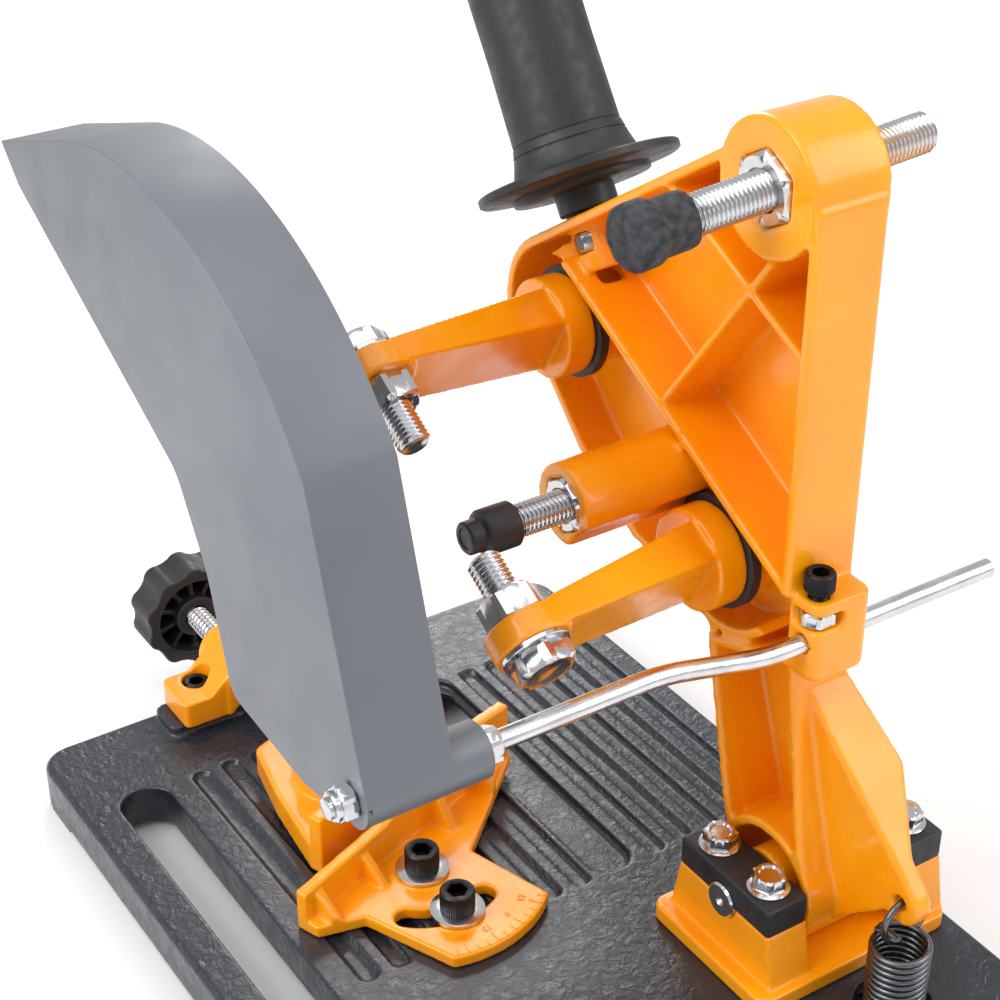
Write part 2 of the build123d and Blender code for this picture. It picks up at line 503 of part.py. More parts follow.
# ---------------------------------------------------------------- guard
def make_guard():
    nodes = {}
    path = FilletPolyline(
        (ROD_X[0], ROD_Y, ROD_LOW), (BEND_X[0], ROD_Y, ROD_LOW),
        (BEND_X[1], ROD_Y, ROD_HIGH), (ROD_X[1], ROD_Y, ROD_HIGH), radius=BEND_RADIUS)
    start = Plane(origin=path @ 0, z_dir=path % 0)
    nodes["guard_rod"] = sweep(start * Circle(ROD_RADIUS), path)

    tube_axis = (ROD_Y, ROD_HIGH)
    tip, crown, heel = (-174.0, 342.0), (-100.0, 366.0), (72.0, 306.0)
    low_edge = [heel, (104.5, 190.0), (97.0, 180.0), (60.0, 176.0), (4.0, 181.0), (-10.0, 228.0),
                (-30.0, 261.0), (-160.0, 328.0), tip]
    edges = [Line(tip, crown), ThreePointArc(crown, (-10.0, 364.5), heel)]
    edges += [Line(a, b) for a, b in zip(low_edge, low_edge[1:])]
    outline = make_face(edges)
    plate_x = (GUARD_X - SHEET, GUARD_X)
    shell = side_profile(outline, plate_x)
    rim_outer = outline - offset(outline, -SHEET, kind=Kind.ARC)
    rear_side = polygon([(-176, 341), (-180, 420), (130, 420), (130, 186), (95, 186), (60, 290), (-100, 355)])
    shell += side_profile(rim_outer & rear_side, (GUARD_X - GUARD_DEPTH, GUARD_X - SHEET / 2))
    shell += along_x(tube_axis, plate_x, TUBE_RADIUS)
    tube = washer((TUBE_X, *tube_axis), (GUARD_X - SHEET, *tube_axis), TUBE_RADIUS, ROD_RADIUS + FIT)
    shell -= along_x(tube_axis, (TUBE_X - 5, GUARD_X - SHEET), TUBE_RADIUS)
    shell -= along_x(tube_axis, (TUBE_X - 5, GUARD_X + 1), ROD_RADIUS + FIT)
    nodes["guard_shell"] = shell
    nodes["guard_tube"] = tube
    inner, outer = TUBE_X - GAP, GUARD_X + GAP
    nodes["rod_inner_nut"] = hex_nut((inner - 6.5, *tube_axis), (inner, *tube_axis), 13.0, ROD_RADIUS)
    nodes["rod_outer_nut"] = hex_nut((outer, *tube_axis), (outer + 8.0, *tube_axis), 13.0, ROD_RADIUS)
    return nodes


# ---------------------------------------------------------------- vise
def make_vise():
    nodes = {}
    bracket_side = polygon([(BRACKET_Y[0], PAD_TOP), (BRACKET_Y[1], PAD_TOP), (BRACKET_Y[1], PAD_TOP + 14),
                            (BRACKET_Y[0], PAD_TOP + 14)])
    foot = side_profile(bracket_side, (VISE_X - 38, VISE_X + 38))
    foot = fillet(foot.edges().filter_by(Axis.Z), 3.0)
    axis_y = (BRACKET_Y[0] - 6.0, BRACKET_Y[1] + 1.0)
    hood = bar((VISE_X, axis_y[0], SCREW_Z), (VISE_X, axis_y[1], SCREW_Z), 15.0)
    hood += block((VISE_X - 15, VISE_X + 15), (axis_y[0] + 6, axis_y[1]), (PAD_TOP, SCREW_Z))
    front = Plane.XZ.offset(-BRACKET_Y[0])
    shoulder = front * polygon([(VISE_X - 26, PAD_TOP + 12), (VISE_X + 26, PAD_TOP + 12),
                                (VISE_X + 12, SCREW_Z + 9), (VISE_X - 12, SCREW_Z + 9)])
    bracket = foot + hood + extrude(shoulder, -(BRACKET_Y[1] - BRACKET_Y[0]))
    arch = bar((VISE_X, BRACKET_Y[0] - 10, PAD_TOP - 9), (VISE_X, BRACKET_Y[1] + 5, PAD_TOP - 9), 16.0)
    bracket -= arch
    bracket = bracket & block((-20, 100), (-215, -165), (PAD_TOP, 80))
    bracket -= bar((VISE_X, -215, SCREW_Z), (VISE_X, -165, SCREW_Z), SCREW_RADIUS + FIT)
    screws = []
    for side in (-1, 1):
        x, y = VISE_X + side * VISE_SCREW_OUT, VISE_SCREW_Y
        seat = PAD_TOP + 5.5
        bracket -= bar((x, y, seat), (x, y, PAD_TOP + 30), 7.0) + bar((x, y, PAD_TOP), (x, y, seat + 1), 4.0)
        screws.append(socket_screw((x, y, seat), (0, 0, -1), 4.0, 18.0))
    nodes["vise_bracket"] = bracket
    nodes["vise_bracket_screws"] = Compound(screws)

    screw = bar((VISE_X, KNOB_Y[0] + 6, SCREW_Z), (VISE_X, JAW_Y - 9, SCREW_Z), SCREW_RADIUS)
    screw += bar((VISE_X, JAW_Y - 10, SCREW_Z), (VISE_X, JAW_Y + 7, SCREW_Z), 4.0)
    nodes["vise_screw"] = screw
    nodes["vise_knob"] = make_knob()
    clip = washer((VISE_X, JAW_Y + 4.4, SCREW_Z), (VISE_X, JAW_Y + 5.6, SCREW_Z), 6.5, 4.0)
    nodes["screw_clip"] = clip

    barrel = bar((VISE_X, JAW_Y, 31.0), (VISE_X, JAW_Y, 54.0), 10.0)
    barrel -= bar((VISE_X, JAW_Y - 12, SCREW_Z), (VISE_X, JAW_Y + 12, SCREW_Z), 4.0 + FIT)
    barrel -= block((VISE_X - 12, VISE_X + 12), (JAW_Y + 4.1, JAW_Y + 12), (31, 54))
    barrel -= block((VISE_X - 12, VISE_X + 12), (JAW_Y - 12, JAW_Y - 8.7), (31, 54))
    nodes["jaw_barrel"] = barrel
    nodes["vise_jaw"] = Pos(VISE_X, JAW_Y) * Rot(0, 0, VISE_ANGLE) * make_jaw()
    return nodes


def make_knob():
    """A ten-lobed star knob, hollow towards the bracket, with ribs and a hub."""
    lobes, waist = 10, KNOB_RADIUS - 2.0
    outline = Circle(waist)
    for i in range(lobes):
        outline += PolarLocations(KNOB_RADIUS - 6.5, 1, start_angle=i * 360 / lobes) * Circle(6.5)
    for i in range(lobes):
        outline -= PolarLocations(KNOB_RADIUS + 3.6, 1, start_angle=(i + 0.5) * 360 / lobes) * Circle(6.0)
    front = Plane(origin=(VISE_X, KNOB_Y[0], SCREW_Z), z_dir=(0, 1, 0))
    depth = KNOB_Y[1] - KNOB_Y[0]
    knob = extrude(front * outline, depth)
    knob = chamfer(knob.faces().sort_by(Axis.Y)[0].edges(), 1.2)
    hollow = bar((VISE_X, KNOB_Y[0] + 5, SCREW_Z), (VISE_X, KNOB_Y[1], SCREW_Z), waist - 5.5)
    knob -= hollow
    spokes = Rectangle(2 * waist - 8, 2.4)
    for i in range(1, 5):
        spokes += Rot(0, 0, i * 36) * Rectangle(2 * waist - 8, 2.4)
    knob += extrude(front.offset(4) * spokes, depth - 9)
    knob += bar((VISE_X, KNOB_Y[0] + 2, SCREW_Z), (VISE_X, KNOB_Y[1], SCREW_Z), 11.0)
    return knob - bar((VISE_X, KNOB_Y[0] + 6, SCREW_Z), (VISE_X, KNOB_Y[1] + 1, SCREW_Z), SCREW_RADIUS)


def make_jaw():
    """The jaw about its own swivel axis, face towards +Y."""
    low, ledge, top = BASE_TOP + GAP, 38.0, 56.0
    wedge = polygon([(-JAW_HALF, JAW_DEPTH), (JAW_HALF, JAW_DEPTH), (JAW_HALF, JAW_DEPTH - 7), (26.0, -14.0),
                     (8.0, -44.0), (-8.0, -44.0), (-26.0, -14.0), (-JAW_HALF, JAW_DEPTH - 7)])
    wedge = fillet(wedge.vertices().group_by(Axis.Y)[0], 6.0)
    jaw = extrude(Plane.XY.offset(low) * wedge, ledge - low)
    jaw += bar((0, 0, low), (0, 0, top), 19.0)
    jaw += block((-JAW_HALF, JAW_HALF), (JAW_DEPTH - 7, JAW_DEPTH), (low, top - 1))
    rib = Plane.YZ.offset(-3) * polygon([
        (15, ledge - 1), (JAW_DEPTH - 5, ledge - 1), (JAW_DEPTH - 5, top - 1), (15, top - 1)])
    for x in (-12.0, 0.0, 12.0):
        jaw += Pos(x, 0, 0) * extrude(rib, 6)
    jaw = chamfer(jaw.faces().sort_by(Axis.Z)[-1].edges(), 0.8)
    jaw -= bar((0, 0, low - 1), (0, 0, 54.0 + GAP), 10.0 + FIT)
    # room for the screw to reach the barrel while the jaw swivels
    fan = polygon([(-7.5, 0), (7.5, 0), (24, -30), (-24, -30)])
    jaw -= extrude(Plane.XY.offset(SCREW_Z - SCREW_RADIUS - 0.6) * fan, 2 * SCREW_RADIUS + 1.2)
    return jaw


# ---------------------------------------------------------------- fence
def make_fence():
    nodes = {}
    low, plate_top = FENCE_BOTTOM, FENCE_BOTTOM + FENCE_PLATE
    face, back = FENCE_FACE, FENCE_FACE + 6.0
    plan = polygon([(-90.0, face), (56.0, face), (56.0, -12.0), (24.0, 9.0), (-24.0, 9.0), (-90.0, -19.0)])
    sector = disc((0, 0), 57.5) & polygon([(0, 0), (-24.0, 9.0), (-22.0, 60.0), (34.0, 60.0), (38.0, 0.0)])
    plan += sector
    body = extrude(Plane.XY.offset(low) * plan, FENCE_PLATE)
    wall = Plane.XZ.offset(-face) * polygon([
        (-88.0, low), (56.0, low), (56.0, 45.0), (2.0, 47.5), (-26.0, 60.0), (-66.0, 63.0), (-87.0, 61.0)])
    body += extrude(wall, -6.0)
    for x in (-62.0, -30.0, 18.0, 48.0):
        height = plate_top + (20.0 if x < -20 else 12.0)
        gusset = Plane.YZ.offset(x - 2.5) * polygon([
            (back - 1, plate_top - 1), (back + 14, plate_top - 1), (back + 2, height), (back - 1, height)])
        body += extrude(gusset, 5.0) & extrude(Plane.XY.offset(low) * plan, 40.0)
    # the bolt slot is an arc about the pivot
    slot_radius = hypot(FENCE_LOCK[0] - FENCE_PIVOT[0], FENCE_LOCK[1] - FENCE_PIVOT[1])
    arc = CenterArc((0, 0), slot_radius, 27.0, 71.0)
    slot = SlotArc(arc, 11.0)
    body -= extrude(Plane.XY.offset(low - 1) * slot, FENCE_PLATE + 2)
    body -= bar((0, 0, low - 1), (0, 0, plate_top + 1), 5.0 + FIT)
    nodes["fence"] = Pos(*FENCE_PIVOT) * Rot(0, 0, VISE_ANGLE) * body

    top = plate_top + GAP
    places = (FENCE_PIVOT, FENCE_LOCK)
    bolts = [socket_screw((*place, top + 2.0), (0, 0, -1), 5.0, 24.0) for place in places]
    washers = [washer((*place, top), (*place, top + 2.0), 12.0, 5.0) for place in places]
    nodes["fence_bolts"] = Compound(bolts)
    nodes["fence_washers"] = Compound(washers)
    return nodes


# ---------------------------------------------------------------- everything
def main():
    nodes = {"base_plate": make_base_plate(), "arm_casting": make_arm_casting()}
    nodes.update(make_pivot())
    nodes.update(make_arm_fittings())
    nodes.update(make_clamp_arm("upper", UPPER_SEAT, 1))
    nodes.update(make_clamp_arm("lower", LOWER_SEAT, -1))
    nodes.update(make_support_screws())
    nodes.update(make_guard())
    nodes.update(make_vise())
    nodes.update(make_fence())
    os.makedirs("parts", exist_ok=True)
    for name, shape in nodes.items():
        export_step(shape, f"parts/{name}.step")
    print(len(nodes), "nodes")


main()
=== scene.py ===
import bmesh
import bpy
import json
from math import ceil, cos, pi, radians, sin, tan, tau
from mathutils import Matrix, Vector, noise


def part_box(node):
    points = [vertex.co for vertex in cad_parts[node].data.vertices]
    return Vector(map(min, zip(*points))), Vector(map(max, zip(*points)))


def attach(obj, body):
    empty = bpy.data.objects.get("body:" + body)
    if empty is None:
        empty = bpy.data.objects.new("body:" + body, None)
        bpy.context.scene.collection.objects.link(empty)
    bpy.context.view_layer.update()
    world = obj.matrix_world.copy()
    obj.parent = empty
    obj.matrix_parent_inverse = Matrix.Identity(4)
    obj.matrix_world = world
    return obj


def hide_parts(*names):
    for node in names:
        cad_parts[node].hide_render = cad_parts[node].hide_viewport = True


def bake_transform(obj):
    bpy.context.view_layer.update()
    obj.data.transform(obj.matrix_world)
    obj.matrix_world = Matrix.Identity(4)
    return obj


# Angle-grinder cutting stand: the looks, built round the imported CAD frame. Everything is in metres.
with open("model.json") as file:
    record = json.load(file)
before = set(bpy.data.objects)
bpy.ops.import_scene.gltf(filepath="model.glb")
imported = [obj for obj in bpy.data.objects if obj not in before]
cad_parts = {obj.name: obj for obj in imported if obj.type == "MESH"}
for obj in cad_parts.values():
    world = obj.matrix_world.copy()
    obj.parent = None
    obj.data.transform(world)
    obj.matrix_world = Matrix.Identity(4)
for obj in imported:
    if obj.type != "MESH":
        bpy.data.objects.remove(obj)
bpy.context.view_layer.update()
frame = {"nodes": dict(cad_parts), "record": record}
MM = 0.001


# ---------------------------------------------------------------- sizes that the CAD model also uses
SPREAD = Vector((0, 106.5, -59.5)).normalized()        # from the upper seat to the lower one
ACROSS = Vector((0, -SPREAD.z, SPREAD.y))
UPPER_SEAT, LOWER_SEAT = Vector((0, -70, 251)), Vector((0, 36.5, 191.5))
EYE_OFFSET = Vector((45, 0, 0)) + SPREAD * 20.5 + ACROSS * 38
EYE_THICK = 11.0
BOSS = Vector((-65, 60, 358.5))
SUPPORT_TILT = radians(4.5)
MIDDLE_BOSS = Vector((0, 8, 217))
HANDLE_FOOT = Vector((-82, -70, 298.2))
HANDLE_TILT = radians(33.2)
VISE_X, SCREW_Z = 40.0, 45.0
VISE_SCREW_START, VISE_SCREW_LENGTH, SPIGOT_START = -252.0, 151.0, -101.5      # along Y
VISE_SCREW_OUT, VISE_SCREW_Y, VISE_SCREW_SEAT = 23.5, -190.0, 34.5             # the bracket's own screws
SPRING = Vector((-88, 148, 0))                         # the spring's axis
FENCE_PIVOT, FENCE_LOCK = Vector((36, -22, 0)), Vector((37, 9, 0))
FENCE_TURN = radians(19.6)
FENCE_TOP = 30.3
WASHER_GAP, WASHER_THICK = 0.3, 2.0
ROD_Y, ROD_LOW, ROD_HIGH = 95.0, 181.0, 193.0
ROD_X, ROD_BEND_X = (-168.0, 142.0), (-50.0, 0.0)      # ends of the rod, and of its offset bend
CLAMP_SCREW_X, CLAMP_NUT_Z, CLAMP_SCREW_SEAT = -75.0, 189.0, 204.0
PIVOT = Vector((0, 88, 57))
PIN_START, PIN_LENGTH = -140.5, 98.5
UPRIGHT_X = (-54.0, -128.5)                            # middle of each bearing cap
CAP_BOLT_Y, CAP_TOP = (72.0, 104.0), 70.5
BRACKET_SCREW_Y, BRACKET_SCREW_SEAT, BRACKET_SCREW_REACH = (64.0, 112.0), 17.0, 19.0
ARM_BOLT_SEAT, ARM_WASHER_BACK, ARM_RING_BACK = -100.8, -100.5, -75.7          # along X
RING_THICK, RING_RADIUS, RING_HOLE = 5.1, 24.6, 5.2
GUARD_NEAR, GUARD_FAR, SHEET = 96.5, 131.5, 2.0        # the rim's free edge, the plate's outside
TUBE_X, TUBE_LENGTH, TUBE_RADIUS, TUBE_HOLE = 80.0, 49.5, 11.0, 4.05

# threads, each with its radius, pitch and depth
M8, M10, M12 = (3.95, 1.25, 0.7), (4.95, 1.5, 0.8), (5.95, 1.75, 1.0)
M14, M14_SUPPORT, M16 = (6.9, 2.0, 1.1), (6.95, 2.0, 1.15), (7.95, 2.0, 1.2)
VISE_THREAD = (5.95, 3.0, 1.3)

# the photographer's view and lights, in metres and watts
CAMERA_PLACE, CAMERA_LENS = (0.3906, 0.5843, 0.644), 74.7
CAMERA_FORWARD, CAMERA_UP = (-0.4681, -0.7173, -0.5161), (-0.2820, -0.4322, 0.8565)
LIGHT_TARGET = (0, 0, 0.18)
LIGHTS = (                                             # name, place, size, power
    ("key_softbox", (1.5, -0.1, 1.3), (1.3, 1.3), 27),
    ("rear_softbox", (-1.2, 1.1, 1.3), (1.2, 1.4), 15),
    ("front_strip", (-0.9, -1.6, 1.0), (0.5, 1.6), 11),
    ("top_panel", (0.1, 0.2, 2.2), (1.8, 1.8), 11),
)
WORLD_STRENGTH = 0.62
FLOOR_HALF = 6.0


# ---------------------------------------------------------------- materials
class Shader:
    """A principled material and short ways to add nodes to it."""

    def __init__(self, name, **sockets):
        self.material = bpy.data.materials.new(name)
        self.material.use_nodes = True
        self.tree = self.material.node_tree
        self.main = self.tree.nodes["Principled BSDF"]
        for socket, value in sockets.items():
            self.main.inputs[socket.replace("_", " ")].default_value = value
        self.place = self.node("ShaderNodeTexCoord").outputs["Object"]

    def node(self, kind, **inputs):
        made = self.tree.nodes.new(kind)
        for key, value in inputs.items():
            socket = made.inputs[key.replace("_", " ")]
            if isinstance(value, bpy.types.NodeSocket):
                self.tree.links.new(value, socket)
            else:
                socket.default_value = value
        return made

    def noise(self, scale, detail=3.0, distortion=0.0, stretch=None):
        vector = self.place
        if stretch:
            vector = self.node("ShaderNodeMapping", Vector=self.place, Scale=stretch).outputs["Vector"]
        settings = {"Scale": scale, "Detail": detail, "Distortion": distortion}
        return self.node("ShaderNodeTexNoise", Vector=vector, **settings).outputs["Fac"]

    def spread(self, value, low, high, start=0.35, end=0.65):
        """The value's start..end stretch mapped to low..high."""
        made = self.node("ShaderNodeMapRange", Value=value)
        made.inputs["From Min"].default_value = start
        made.inputs["From Max"].default_value = end
        made.inputs["To Min"].default_value = low
        made.inputs["To Max"].default_value = high
        return made.outputs["Result"]

    def colour(self, value, first, second, start=0.35, end=0.65):
        ramp = self.node("ShaderNodeValToRGB", Fac=value)
        ramp.color_ramp.elements[0].position = start
        ramp.color_ramp.elements[1].position = end
        ramp.color_ramp.elements[0].color = (*first, 1)
        ramp.color_ramp.elements[1].color = (*second, 1)
        self.tree.links.new(ramp.outputs["Color"], self.main.inputs["Base Color"])

    def gloss(self, value, low, high):
        self.tree.links.new(self.spread(value, low, high), self.main.inputs["Roughness"])

    def bump(self, *layers):
        """Each layer is (height, strength, distance in metres); they stack up."""
        normal = None
        for height, strength, distance in layers:
            made = self.node("ShaderNodeBump", Height=height, Strength=strength, Distance=distance)
            if normal:
                self.tree.links.new(normal, made.inputs["Normal"])
            normal = made.outputs["Normal"]
        self.tree.links.new(normal, self.main.inputs["Normal"])


def enamel():
    paint = Shader("orange_enamel", Roughness=0.3, Coat_Weight=0.3, Coat_Roughness=0.05)
    paint.colour(paint.noise(24), (1.0, 0.325, 0.0), (1.0, 0.375, 0.0))
    paint.gloss(paint.noise(60), 0.22, 0.38)
    paint.bump((paint.noise(330, 2), 0.2, 0.0004), (paint.noise(55, 2), 0.35, 0.0012))
    return paint.material


def guard_paint():
    paint = Shader("guard_grey", Roughness=0.42, Metallic=0.3, Coat_Weight=0.12, Coat_Roughness=0.3)
    paint.colour(paint.noise(9, 4, 0.6), (0.148, 0.158, 0.177), (0.170, 0.181, 0.200))
    paint.gloss(paint.noise(38, 5), 0.4, 0.52)
    paint.bump((paint.noise(1400, 2), 0.1, 0.0002), (paint.noise(90, 3), 0.06, 0.0006))
    return paint.material


def hammertone():
    paint = Shader("base_hammertone", Roughness=0.4, Coat_Weight=0.35, Coat_Roughness=0.15)
    paint.colour(paint.noise(14, 4), (0.011, 0.0135, 0.021), (0.019, 0.023, 0.033))
    paint.gloss(paint.noise(120), 0.26, 0.46)
    paint.bump((paint.noise(210, 3, 0.8), 0.9, 0.0011), (paint.noise(900, 2), 0.2, 0.0002))
    return paint.material


def plated(name, tint=(0.66, 0.67, 0.69), rough=(0.13, 0.24)):
    metal = Shader(name, Metallic=1.0, Roughness=0.2)
    metal.colour(metal.noise(70, 3), tuple(c * 0.93 for c in tint), tint)
    metal.gloss(metal.noise(240, 3), *rough)
    metal.bump((metal.noise(900, 2), 0.03, 0.0002))
    return metal.material


def drawn_rod():
    metal = Shader("bright_rod", Metallic=1.0, Roughness=0.2)
    metal.colour(metal.noise(90, 4), (0.6, 0.6, 0.61), (0.74, 0.74, 0.75))
    metal.gloss(metal.noise(60, 5, stretch=(1, 14, 14)), 0.14, 0.3)
    metal.bump((metal.noise(120, 4, stretch=(1, 18, 18)), 0.15, 0.0003))
    return metal.material


def moulded(name, tone=0.014, rough=(0.42, 0.6), grain=700):
    plastic = Shader(name, Roughness=0.5)
    plastic.colour(plastic.noise(40), (tone, tone, tone * 1.08), (tone * 1.7, tone * 1.7, tone * 1.8))
    plastic.gloss(plastic.noise(160), *rough)
    plastic.bump((plastic.noise(grain, 3), 0.35, 0.0003))
    return plastic.material


def rough_rubber():
    rubber = Shader("rubber_cap", Roughness=0.85)
    rubber.colour(rubber.noise(260, 5), (0.018, 0.019, 0.022), (0.055, 0.057, 0.065))
    rubber.gloss(rubber.noise(300), 0.7, 0.95)
    rubber.bump((rubber.noise(520, 4), 0.8, 0.0006), (rubber.noise(160, 3), 0.5, 0.001))
    return rubber.material


def floor_paper():
    paper = Shader("floor_paper", Roughness=0.9)
    paper.colour(paper.noise(3), (0.86, 0.86, 0.87), (0.88, 0.88, 0.885))
    return paper.material


MATERIALS = {
    "cast_enamel": enamel(),
    "guard_paint": guard_paint(),
    "base_paint": hammertone(),
    "zinc": plated("zinc_plating"),
    "bright_rod": drawn_rod(),
    "black_steel": plated("blackened_steel", (0.035, 0.035, 0.038), (0.3, 0.5)),
    "spring_steel": plated("spring_steel", (0.16, 0.165, 0.175), (0.22, 0.4)),
    "black_plastic": moulded("black_plastic"),
    "bushing": plated("bronze_bush", (0.6, 0.42, 0.2), (0.25, 0.4)),
    "rubber_cap": rough_rubber(),
}


# ---------------------------------------------------------------- camera, light and floor
def make_camera():
    forward = Vector(CAMERA_FORWARD).normalized()
    right = forward.cross(Vector(CAMERA_UP)).normalized()
    up = right.cross(forward)
    data = bpy.data.cameras.new("camera")
    data.lens = CAMERA_LENS
    data.sensor_width = 36.0
    camera = bpy.data.objects.new("camera", data)
    turn = Matrix((right, up, -forward)).transposed().to_4x4()
    camera.matrix_world = Matrix.Translation(CAMERA_PLACE) @ turn
    bpy.context.collection.objects.link(camera)
    bpy.context.scene.camera = camera


def area_light(name, place, size, power):
    data = bpy.data.lights.new(name, "AREA")
    data.shape = "RECTANGLE"
    data.size, data.size_y = size
    data.energy = power
    light = bpy.data.objects.new(name, data)
    light.location = place
    light.rotation_euler = (Vector(LIGHT_TARGET) - Vector(place)).to_track_quat("-Z", "Y").to_euler()
    bpy.context.collection.objects.link(light)


def make_studio():
    for light in LIGHTS:
        area_light(*light)
    bpy.context.scene.view_settings.view_transform = "Standard"
    world = bpy.data.worlds.new("studio")
    world.use_nodes = True
    background = world.node_tree.nodes["Background"]
    background.inputs["Color"].default_value = (1, 1, 1, 1)
    background.inputs["Strength"].default_value = WORLD_STRENGTH
    bpy.context.scene.world = world
    mesh = bpy.data.meshes.new("floor")
    half = FLOOR_HALF
    corners = [(-half, -half, 0), (half, -half, 0), (half, half, 0), (-half, half, 0)]
    mesh.from_pydata(corners, [], [(0, 1, 2, 3)])
    floor = bpy.data.objects.new("floor", mesh)
    mesh.materials.append(floor_paper())
    bpy.context.collection.objects.link(floor)


make_camera()
make_studio()


# ---------------------------------------------------------------- helpers for pieces
def body_of(node):
    for name, nodes in frame["record"]["behaviour"]["bodies"].items():
        if node in nodes:
            return name


SLOT_OF = {row["node"]: row["material_slot"] for row in frame["record"]["subparts"]}


def dress(piece, slot):
    piece.data.materials.clear()
    piece.data.materials.append(MATERIALS[slot])


def finish_piece(piece, node):
    """The material and body of the CAD node that the piece stands for."""
    dress(piece, SLOT_OF[node])
    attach(piece, body_of(node))
    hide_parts(node)


def new_piece(name, vertices, faces, smooth_angle=35):
    mesh = bpy.data.meshes.new(name)
    mesh.from_pydata([Vector(v) * MM for v in vertices], [], faces)
    mesh.update()
    work = bmesh.new()
    work.from_mesh(mesh)
    bmesh.ops.recalc_face_normals(work, faces=work.faces)
    work.to_mesh(mesh)
    work.free()
    piece = bpy.data.objects.new(name, mesh)
    bpy.context.collection.objects.link(piece)
    mesh.shade_smooth()
    mesh.set_sharp_from_angle(angle=radians(smooth_angle))
    return piece


def bake(piece):
    """The piece's modifiers made part of its mesh."""
    graph = bpy.context.evaluated_depsgraph_get()
    mesh = bpy.data.meshes.new_from_object(piece.evaluated_get(graph))
    piece.modifiers.clear()
    old = piece.data
    piece.data = mesh
    bpy.data.meshes.remove(old)


def copy_of(node, name):
    source = frame["nodes"][node]
    piece = bpy.data.objects.new(name, source.data.copy())
    piece.matrix_world = source.matrix_world
    bpy.context.collection.objects.link(piece)
    work = bmesh.new()
    work.from_mesh(piece.data)
    bmesh.ops.remove_doubles(work, verts=work.verts, dist=0.00002)
    work.to_mesh(piece.data)
    work.free()
    return piece


def cast_piece(node, voxel, rounds, keep=0.5):
    """A node with the soft rounded edges and corners of a casting."""
    piece = copy_of(node, node + "_cast")
    remesh = piece.modifiers.new("remesh", "REMESH")
    remesh.mode = "VOXEL"
    remesh.voxel_size = voxel * MM
    smooth = piece.modifiers.new("smooth", "CORRECTIVE_SMOOTH")
    smooth.iterations = rounds
    smooth.use_only_smooth = True
    smooth.factor = 0.5
    fewer = piece.modifiers.new("fewer", "DECIMATE")
    fewer.ratio = keep
    bake(piece)
    piece.data.shade_smooth()
    finish_piece(piece, node)


def dress_remaining():
    """Every CAD node that still shows gets its slot's material."""
    for name, obj in frame["nodes"].items():
        for index in range(len(obj.material_slots)):
            obj.material_slots[index].material = MATERIALS[SLOT_OF[name]]


# ---------------------------------------------------------------- turned pieces
def frame_along(origin, axis, turn=0.0):
    """A place whose Z runs along axis, in the frame's millimetres."""
    axis = Vector(axis).normalized()
    side = Vector((0, 0, 1)) if abs(axis.z) < 0.9 else Vector((1, 0, 0))
    x = (side - axis * side.dot(axis)).normalized()
    y = axis.cross(x)
    place = Matrix((x, y, axis)).transposed().to_4x4()
    return Matrix.Translation(origin) @ place @ Matrix.Rotation(turn, 4, "Z")


def flat_limit(across_flats, angle):
    """The radius of a hexagon at an angle."""
    return across_flats / 2 / cos((angle % (pi / 3)) - pi / 6)


def turned(name, place, rings, sides=96, hollow=False, smooth_angle=35):
    """A turned piece. A ring is (height, radius), plus a hexagon's width to cut it by, or "knurl"."""
    vertices, faces = [], []
    for height, radius, *cut in rings:
        for i in range(sides):
            angle = tau * i / sides
            r = radius
            if cut and cut[0] == "knurl":
                r -= 0.35 * (i % 2)
            elif cut:
                r = min(radius, flat_limit(cut[0], angle))
            vertices.append(place @ Vector((r * cos(angle), r * sin(angle), height)))
    count = len(rings)
    for ring in range(count if hollow else count - 1):
        a, b = ring * sides, ((ring + 1) % count) * sides
        faces += [(a + i, a + (i + 1) % sides, b + (i + 1) % sides, b + i) for i in range(sides)]
    if not hollow:
        faces.append(tuple(range(sides)))
        faces.append(tuple(range((count - 1) * sides, count * sides)))
    return new_piece(name, vertices, faces, smooth_angle)


def threaded(name, place, length, radius, pitch, depth, sides=40, chamfer_low=True, chamfer_high=True):
    """A rod with a real helical thread, from the place's origin along its Z."""
    steps_per_turn = 8
    steps = ceil(length / pitch * steps_per_turn)
    vertices, faces = [], []
    for step in range(steps + 1):
        height = length * step / steps
        for i in range(sides):
            angle = tau * i / sides
            phase = (height / pitch - i / sides) % 1.0
            valley = min(1.0, max(0.0, 1.35 * abs(2 * phase - 1) - 0.17))
            r = radius - depth * valley
            if chamfer_low:
                r = min(r, radius - depth * 1.15 + height)
            if chamfer_high:
                r = min(r, radius - depth * 1.15 + length - height)
            vertices.append(place @ Vector((r * cos(angle), r * sin(angle), height)))
    for step in range(steps):
        a, b = step * sides, (step + 1) * sides
        faces += [(a + i, a + (i + 1) % sides, b + (i + 1) % sides, b + i) for i in range(sides)]
    faces.append(tuple(range(sides)))
    faces.append(tuple(range(steps * sides, (steps + 1) * sides)))
    return new_piece(name, vertices, faces, 60)


